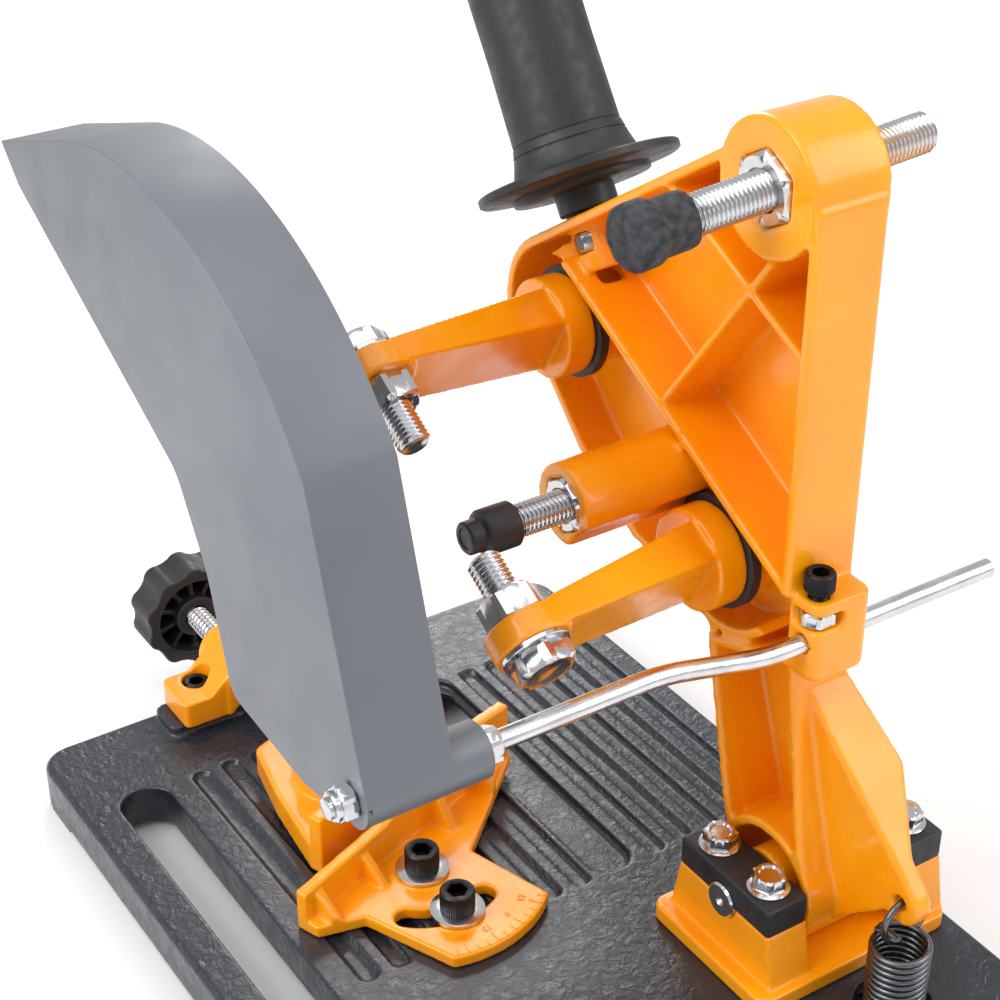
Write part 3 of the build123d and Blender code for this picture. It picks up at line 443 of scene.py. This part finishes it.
def wire(name, path, radius, sides):
    """A round wire along a path, with its ends slightly rounded."""
    first = path[0] + (path[1] - path[0]).normalized() * radius * 0.15
    last = path[-1] + (path[-2] - path[-1]).normalized() * radius * 0.15
    points = [path[0], first] + path[1:-1] + [last, path[-1]]
    vertices, faces = [], []
    side = None
    for i, point in enumerate(points):
        along = (points[min(i + 1, len(points) - 1)] - points[max(i - 1, 0)]).normalized()
        side = (side - along * side.dot(along)).normalized() if side else along.orthogonal().normalized()
        up = along.cross(side)
        r = radius * (0.82 if i in (0, len(points) - 1) else 1.0)
        for k in range(sides):
            angle = tau * k / sides
            vertices.append(point + side * r * cos(angle) + up * r * sin(angle))
    for ring in range(len(points) - 1):
        a, b = ring * sides, (ring + 1) * sides
        faces += [(a + i, a + (i + 1) % sides, b + (i + 1) % sides, b + i) for i in range(sides)]
    faces.append(tuple(range(sides)))
    faces.append(tuple(range((len(points) - 1) * sides, len(points) * sides)))
    return new_piece(name, vertices, faces, 50)


def rounded(points, radius, closed=True, steps=8):
    """An outline with its corners rounded; an open one keeps its two ends."""
    result = []
    for i, point in enumerate(points):
        here = Vector(point)
        if not closed and i in (0, len(points) - 1):
            result.append(here)
            continue
        before, after = Vector(points[i - 1]), Vector(points[(i + 1) % len(points)])
        start = here + (before - here).normalized() * radius
        end = here + (after - here).normalized() * radius
        for step in range(steps + 1):
            t = step / steps
            result.append(start * (1 - t) ** 2 + here * 2 * t * (1 - t) + end * t ** 2)
    return result


def arc_points(centre, radius, start, end, steps):
    """Points on an arc between two angles in degrees."""
    angles = [radians(start + (end - start) * step / steps) for step in range(steps + 1)]
    return [Vector((centre[0] + radius * cos(a), centre[1] + radius * sin(a))) for a in angles]


def raised_bar(place, span, width, height):
    """A small bar along the place's X, with a narrower top."""
    vertices = []
    for z, half, trim in ((-0.1, width / 2, 0.0), (height, width / 2 - 0.12, 0.12)):
        near, far = span[0] + trim, span[1] - trim
        for x, y in ((near, -half), (far, -half), (far, half), (near, half)):
            vertices.append(place @ Vector((x, y, z)))
    faces = [(0, 1, 2, 3), (4, 5, 6, 7), (0, 1, 5, 4), (1, 2, 6, 5), (2, 3, 7, 6), (3, 0, 4, 7)]
    return new_piece("mark", vertices, faces)


def raised_text(place, text, size, height):
    """Digits that stand up from a surface."""
    curve = bpy.data.curves.new("digits", "FONT")
    curve.body = text
    curve.size = size
    curve.align_x = "CENTER"
    curve.align_y = "CENTER"
    curve.extrude = height / 2
    holder = bpy.data.objects.new("digits", curve)
    bpy.context.collection.objects.link(holder)
    bpy.context.view_layer.update()
    mesh = bpy.data.meshes.new_from_object(holder)
    bpy.data.objects.remove(holder)
    mesh.transform(Matrix.Scale(MM, 4) @ place @ Matrix.Translation((0, 0, height / 2)))
    piece = bpy.data.objects.new("digits", mesh)
    bpy.context.collection.objects.link(piece)
    return piece


def washer(name, place, thick, radius, hole, chamfer):
    rings = [(0.0, radius - chamfer), (chamfer / 2, radius), (thick - chamfer / 2, radius),
             (thick, radius - chamfer), (thick, hole), (0.0, hole)]
    return turned(name, place, rings, hollow=True)


def joined(pieces, name):
    """Several meshes as one piece."""
    work = bmesh.new()
    for piece in pieces:
        work.from_mesh(piece.data)
    mesh = bpy.data.meshes.new(name)
    work.to_mesh(mesh)
    work.free()
    for piece in pieces:
        old = piece.data
        bpy.data.objects.remove(piece)
        bpy.data.meshes.remove(old)
    result = bpy.data.objects.new(name, mesh)
    bpy.context.collection.objects.link(result)
    return result


def hex_rings(low, high, width, both_chamfered=True):
    """Rings of a hexagon with 30 degree chamfers on its corners."""
    corner = width / 3 ** 0.5
    cut = (corner - width * 0.475) * tan(radians(30))
    face = width * 0.475
    first = [(low, face), (low, face, width), (low + cut, corner, width)] if both_chamfered else \
            [(low, corner, width)]
    return first + [(high - cut, corner, width), (high, face, width)]


def nut(name, place, height, width, hole, washer_face=0.0):
    """A hexagon nut with a countersunk thread."""
    rings = hex_rings(0.0, height, width)
    rings += [(height, hole + 0.7), (height - 0.9, hole - 0.35), (0.9, hole - 0.35), (0.0, hole + 0.7)]
    if washer_face:
        rings = [(0.0, washer_face), (0.5, washer_face), (0.5, width * 0.475, width)] + rings[2:]
    return turned(name, place, rings, hollow=True)


def hex_head(name, place, height, width, flange=0.0, dish=0.0):
    """A bolt's head: Z points out of its top."""
    rings = []
    base = 0.0
    if flange:
        rings = [(0.0, flange - 0.3), (0.3, flange), (0.9, flange), (1.9, width * 0.56)]
        base = 1.9
        rings += hex_rings(base, height, width, both_chamfered=False)
    else:
        rings = hex_rings(0.0, height, width)
    if dish:
        rings += [(height, width * 0.37), (height - dish, width * 0.31), (height - dish, 0.6)]
    return turned(name, place, rings)


def socket_head(name, place, radius):
    """A socket screw's knurled head: Z points out of its top."""
    head, height, key = 1.55 * radius, 2 * radius, 1.6 * radius
    rings = [
        (0.0, head - 0.4), (0.5, head, "knurl"), (height - 1.0, head, "knurl"), (height - 0.5, head - 0.25),
        (height, head - 0.8), (height, key * 0.62), (height - 0.3, key * 0.58, key),
        (height - 1.1 * radius, key * 0.6, key), (height - 1.25 * radius, 0.3)]
    return turned(name, place, rings)


# ---------------------------------------------------------------- support screws and grinder bolts
def make_support_screws():
    tilt = Vector((cos(SUPPORT_TILT), 0, -sin(SUPPORT_TILT)))
    screw = threaded("upper_screw", frame_along(BOSS - tilt * 75, tilt), 128, *M16)
    finish_piece(screw, "upper_support_screw")
    large = nut("upper_nut", frame_along(BOSS - tilt * 9, tilt), 12.0, 27.0, 8.0, washer_face=12.6)
    finish_piece(large, "upper_support_nut")
    place = frame_along(BOSS + tilt * 37, tilt, radians(8))
    head = turned("upper_cap", place, [
        (0.0, 9.6), (0.4, 10.6), (3.0, 10.9), (13.6, 10.7), (14.6, 11.6), (16.0, 12.3), (22.0, 12.5, 25.6),
        (24.6, 12.2, 25.2), (26.2, 10.6, 22.4), (27.0, 8.6, 18.4)], sides=72, smooth_angle=50)
    roughen(head, 0.35, 4.5)
    finish_piece(head, "upper_support_cap")

    middle = MIDDLE_BOSS
    along = Vector((1, 0, 0))
    screw = threaded("lower_screw", frame_along(middle + along * -88, along), 108, *M14_SUPPORT)
    finish_piece(screw, "lower_support_screw")
    small = nut("lower_nut", frame_along(middle + along * -24, along), 9.5, 22.0, 7.0)
    finish_piece(small, "lower_support_nut")
    cap = turned("lower_cap", frame_along(middle + along * 9, along), [
        (0.0, 7.6), (0.0, 8.9), (0.6, 9.4), (13.6, 9.4), (14.6, 8.8), (15.0, 7.6), (15.6, 6.9), (21.2, 6.8),
        (22.0, 6.0), (22.0, 4.4), (21.4, 4.0), (21.4, 0.5)])
    finish_piece(cap, "lower_support_cap")


def roughen(piece, height, scale):
    """Shallow lumps, as on a rough rubber moulding; height and scale in millimetres."""
    for vertex in piece.data.vertices:
        lump = noise.noise(vertex.co / (scale * MM)) * height * MM
        vertex.co += vertex.normal * lump


def make_grinder_bolts():
    for name, seat, inward in (("upper", UPPER_SEAT, 1), ("lower", LOWER_SEAT, -1)):
        eye = seat + EYE_OFFSET
        way = SPREAD * inward
        seat_at = eye - way * (EYE_THICK / 2)
        body = joined([
            hex_head("head", frame_along(seat_at - way * 2, -way, radians(12)), 8.8, 22.0, dish=0.7),
            threaded("shank", frame_along(seat_at - way * 1.9, way), 41.9, *M14, chamfer_low=False),
        ], name + "_grinder_bolt_made")
        finish_piece(body, name + "_grinder_bolt")
        ring = turned(name + "_washer", frame_along(seat_at - way * 2, way), [
            (0.0, 13.7), (0.3, 14.0), (1.7, 14.0), (2.0, 13.7), (2.0, 7.1), (0.0, 7.1)], hollow=True)
        finish_piece(ring, name + "_grinder_washer")
        nut_place = frame_along(eye + way * (EYE_THICK / 2), way, radians(20))
        locked = nut(name + "_nut", nut_place, 12.0, 22.0, 7.0)
        finish_piece(locked, name + "_grinder_nut")


# ---------------------------------------------------------------- smaller bolts
def make_cap_bolts():
    heads = []
    for x in UPRIGHT_X:
        for y in CAP_BOLT_Y:
            turn = radians(x * 7 + y * 3)                  # each head was tightened to its own angle
            place = frame_along(Vector((x, y, CAP_TOP)), (0, 0, 1), turn)
            heads.append(hex_head("head", place, 7.5, 13.0, flange=9.0, dish=0.9))
    finish_piece(joined(heads, "bearing_cap_bolt_heads"), "bearing_cap_bolts")


def make_socket_screws():
    """Socket screws that stand upright: (place under the head, radius) for each node."""
    fence_seat = Vector((0, 0, FENCE_TOP + WASHER_GAP + WASHER_THICK))
    sides = (-VISE_SCREW_OUT, VISE_SCREW_OUT)
    bracket_seats = [Vector((VISE_X + out, VISE_SCREW_Y, VISE_SCREW_SEAT)) for out in sides]
    places = {
        "vise_bracket_screws": [(seat, 4.0) for seat in bracket_seats],
        "fence_bolts": [(place + fence_seat, 5.0) for place in (FENCE_PIVOT, FENCE_LOCK)],
        "rod_clamp_screw": [(Vector((CLAMP_SCREW_X, ROD_Y, CLAMP_SCREW_SEAT)), 4.0)],
    }
    for node, seats in places.items():
        pieces = []
        for seat, radius in seats:
            pieces.append(socket_head("head", frame_along(seat, (0, 0, 1), radians(seat.x)), radius))
            depth = seat.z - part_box(node)[0].z / MM
            below = seat - Vector((0, 0, depth))
            thread = (radius - 0.05, radius * 0.3, radius * 0.16)
            pieces.append(threaded("shank", frame_along(below, (0, 0, 1)), depth + 0.1, *thread, sides=32,
                                   chamfer_high=False))
        finish_piece(joined(pieces, node + "_made"), node)


def make_vise_screw():
    along = Vector((0, 1, 0))
    start = Vector((VISE_X, VISE_SCREW_START, SCREW_Z))
    screw = threaded("screw", frame_along(start, along), VISE_SCREW_LENGTH, *VISE_THREAD)
    spigot = turned("spigot", frame_along(Vector((VISE_X, SPIGOT_START, SCREW_Z)), along), [
        (0.0, 3.9), (12.0, 3.9), (12.3, 3.3), (13.7, 3.3), (14.0, 3.9), (16.0, 3.9), (16.5, 3.4)])
    finish_piece(joined([screw, spigot], "vise_screw_made"), "vise_screw")


def make_bracket_screws():
    """Four socket screws that come up from inside the base."""
    pieces = []
    for x in UPRIGHT_X:
        for y in BRACKET_SCREW_Y:
            seat = Vector((x, y, BRACKET_SCREW_SEAT))
            pieces.append(socket_head("head", frame_along(seat, (0, 0, -1), radians(y)), 4.0))
            shank_place = frame_along(seat, (0, 0, 1))
            pieces.append(threaded("shank", shank_place, BRACKET_SCREW_REACH, *M8, sides=32))
    finish_piece(joined(pieces, "bracket_screws_made"), "bracket_screws")


def make_arm_bolts():
    """The bolts, rings and washers that hold the two clamp arms to the casting."""
    along = Vector((1, 0, 0))
    washers = []
    for name, seat in (("upper", UPPER_SEAT), ("lower", LOWER_SEAT)):
        head_seat = seat + along * ARM_BOLT_SEAT
        shank_place = frame_along(head_seat - along * 0.1, along)
        bolt = joined([
            hex_head("head", frame_along(head_seat, -along, radians(seat.y)), 6.4, 17.0, dish=0.6),
            threaded("shank", shank_place, 40.3, *M10, chamfer_low=False),
        ], name + "_arm_bolt_made")
        finish_piece(bolt, name + "_arm_bolt")
        ring_place = frame_along(seat + along * ARM_RING_BACK, along)
        ring = washer(name + "_ring", ring_place, RING_THICK, RING_RADIUS, RING_HOLE, 0.8)
        finish_piece(ring, name + "_arm_ring")
        washer_place = frame_along(seat + along * ARM_WASHER_BACK, along)
        washers.append(washer("washer", washer_place, 2.5, 12.0, RING_HOLE, 0.4))
    finish_piece(joined(washers, "arm_washers_made"), "arm_washers")


def make_pivot_pins():
    end = PIN_LENGTH
    pin = turned("pivot_pin_made", frame_along(PIVOT + Vector((PIN_START, 0, 0)), (1, 0, 0)), [
        (0.0, 7.1), (0.9, 8.0), (end - 0.9, 8.0), (end, 7.1), (end, 2.4), (end - 1.4, 0.8)])
    finish_piece(pin, "pivot_pin")
    anchor = turned("anchor_pin_made", frame_along(SPRING + Vector((-20, 0, 9)), (1, 0, 0)), [
        (0.0, 2.5), (0.5, 3.0), (39.5, 3.0), (40.0, 2.5)], sides=40)
    finish_piece(anchor, "spring_anchor_pin")


def make_spring():
    """A coil whose low hook holds the anchor pin and whose top hook goes through the arm's tail."""
    mean, low, high, pitch = 11.5, 23.5, 57.5, 3.15
    low_hook, top_hook = (10.5, 6.5), (69.5, 10.5)         # height of the centre, radius
    path = []
    for step in range(44, 0, -1):
        angle = radians(90 - step * 7.5)
        path.append(SPRING + Vector((0, low_hook[1] * cos(angle), low_hook[0] + low_hook[1] * sin(angle))))
    path.append(SPRING + Vector((mean * 0.6, 0, low - 3.2)))
    steps = ceil((high - low) / pitch * 28)
    for step in range(steps + 1):
        height = low + (high - low) * step / steps
        angle = tau * (height - low) / pitch
        path.append(SPRING + Vector((mean * cos(angle), mean * sin(angle), height)))
    last = path[-1] - SPRING
    path.append(SPRING + Vector((last.x * 0.5, last.y * 0.5, high + 1.4)))
    for step in range(1, 46):
        angle = radians(-90 + step * 7.0)
        path.append(SPRING + Vector((top_hook[1] * cos(angle), 0, top_hook[0] + top_hook[1] * sin(angle))))
    spring = wire("spring_coil", path, 1.5, 14)
    dress(spring, SLOT_OF["return_spring"])
    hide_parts("return_spring")
    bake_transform(spring)


def make_handle():
    up = Vector((0, -sin(HANDLE_TILT), cos(HANDLE_TILT)))
    grip = turned("handle_grip_made", frame_along(HANDLE_FOOT + up * 1.5, up), [
        (0.0, 12.4), (0.6, 13.0), (9.0, 13.0), (9.5, 29.4), (10.0, 30.0), (12.0, 30.0), (13.5, 43.0),
        (14.3, 44.0), (16.9, 44.0), (17.6, 43.2), (19.3, 28.4), (20.5, 27.0), (26.0, 25.2), (28.2, 24.7),
        (28.4, 24.0), (29.0, 24.0), (29.2, 24.5), (32.6, 23.7), (32.8, 23.0), (33.4, 23.0), (33.6, 23.4),
        (70.0, 22.8), (112.0, 23.0), (114.6, 22.5), (116.6, 21.2), (118.0, 19.0), (118.9, 14.0), (119.4, 7.0),
        (119.5, 0.5)], sides=128, smooth_angle=40)
    finish_piece(grip, "handle_grip")
    lock = nut("handle_nut", frame_along(HANDLE_FOOT - up * 15, up, radians(30)), 8.0, 19.0, 6.0)
    finish_piece(lock, "handle_lock_nut")
    stud = threaded("handle_thread", frame_along(HANDLE_FOOT - up * 24, up), 82.0, *M12)
    finish_piece(stud, "handle_stud")


def make_rod():
    """The bent rod that carries the guard, with its three nuts."""
    along, level = Vector((1, 0, 0)), Vector((0, ROD_Y, ROD_HIGH))
    corners = [(ROD_X[0], ROD_LOW), (ROD_BEND_X[0], ROD_LOW), (ROD_BEND_X[1], ROD_HIGH), (ROD_X[1], ROD_HIGH)]
    path = [Vector((x, ROD_Y, z)) for x, z in rounded(corners, 11.0, closed=False)]
    finish_piece(wire("rod_made", path, 4.0, 48), "guard_rod")
    finish_piece(nut("inner_nut", frame_along(level + along * 73.2, along), 6.5, 13.0, 4.0), "rod_inner_nut")
    lock_rings = hex_rings(0.0, 5.8, 13.0) + [(5.8, 5.7), (7.4, 5.7), (8.0, 5.1), (8.0, 4.1), (0.0, 4.1)]
    place = frame_along(level + along * 131.8, along, radians(14))
    finish_piece(turned("outer_nut", place, lock_rings, hollow=True), "rod_outer_nut")
    place = frame_along(Vector((CLAMP_SCREW_X, ROD_Y, CLAMP_NUT_Z)), (0, 0, 1))
    finish_piece(nut("clamp_nut", place, 6.0, 13.0, 4.0), "rod_clamp_nut")


def make_guard():
    """One bent sheet: a flat side plate with a rim along its top and rear edge, and the tube it turns on."""
    crown = arc_points((-57.6, 211.1), 160.6, 105.3, 36.2, 36)
    eye = arc_points((ROD_Y, ROD_HIGH), TUBE_RADIUS, 10.0, -100.0, 10)
    front = [(-160, 328), (-30, 261), (-10, 228), (4, 181), (60, 176)]
    edge = [Vector((-174, 342))] + crown + eye[:1]
    outline = edge + eye[1:] + rounded(front[::-1], 6.0, closed=False)
    vertices = [(GUARD_FAR, *p) for p in outline] + [(GUARD_NEAR, *p) for p in edge]
    count = len(outline)
    faces = [tuple(range(count))]
    faces += [(i, i + 1, count + i + 1, count + i) for i in range(len(edge) - 1)]
    shell = new_piece("guard_sheet", vertices, faces)
    bevel = shell.modifiers.new("bend", "BEVEL")
    bevel.width = 2.2 * MM
    bevel.segments = 4
    bevel.limit_method = "ANGLE"
    bevel.angle_limit = radians(60)
    sheet = shell.modifiers.new("thickness", "SOLIDIFY")
    sheet.thickness = SHEET * MM
    sheet.offset = -1.0
    bake(shell)
    shell.data.shade_smooth()
    shell.data.set_sharp_from_angle(angle=radians(28))
    finish_piece(shell, "guard_shell")
    tube = turned("tube_made", frame_along(Vector((TUBE_X, ROD_Y, ROD_HIGH)), (1, 0, 0)), [
        (0.0, TUBE_RADIUS - 0.6), (0.6, TUBE_RADIUS), (TUBE_LENGTH, TUBE_RADIUS), (TUBE_LENGTH, TUBE_HOLE),
        (0.0, TUBE_HOLE)], hollow=True)
    finish_piece(tube, "guard_tube")


def make_fence_marks():
    """Washers, and a raised scale beside the fence's curved edge."""
    lift = Vector((0, 0, FENCE_TOP + WASHER_GAP))
    places = [frame_along(place + lift, (0, 0, 1)) for place in (FENCE_PIVOT, FENCE_LOCK)]
    washers = [washer("washer", place, WASHER_THICK, 12.0, 5.0, 0.4) for place in places]
    finish_piece(joined(washers, "fence_washers_made"), "fence_washers")
    centre = Matrix.Translation(FENCE_PIVOT + Vector((0, 0, FENCE_TOP))) @ Matrix.Rotation(FENCE_TURN, 4, "Z")
    marks = []
    for degree in range(55, 111, 5):
        long = degree % 15 == 0
        place = centre @ Matrix.Rotation(radians(degree), 4, "Z")
        marks.append(raised_bar(place, (50.5 if long else 53.0, 56.3), 0.8, 0.5))
    for degree, text in ((60, "30"), (75, "15"), (90, "0"), (105, "15")):
        place = centre @ Matrix.Rotation(radians(degree), 4, "Z") @ Matrix.Translation((47.0, 0, -0.1))
        marks.append(raised_text(place @ Matrix.Rotation(radians(-90), 4, "Z"), text, 4.6, 0.55))
    scale = joined(marks, "fence_scale")
    dress(scale, SLOT_OF["fence"])
    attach(scale, "fence_body")


for make in (make_support_screws, make_grinder_bolts, make_cap_bolts, make_socket_screws, make_bracket_screws,
             make_vise_screw, make_arm_bolts, make_pivot_pins, make_spring, make_handle, make_rod, make_guard,
             make_fence_marks):
    make()
cast_piece("arm_casting", 1.0, 6, keep=0.4)
cast_piece("base_plate", 1.0, 3, keep=0.4)
for cast_node in ("upper_clamp_arm", "lower_clamp_arm", "vise_jaw", "fence", "pivot_bracket", "vise_bracket"):
    cast_piece(cast_node, 0.7, 5, keep=0.5)
for cast_node in ("vise_knob", "bearing_cap_left", "bearing_cap_right"):
    cast_piece(cast_node, 0.6, 3, keep=0.5)
dress_remaining()
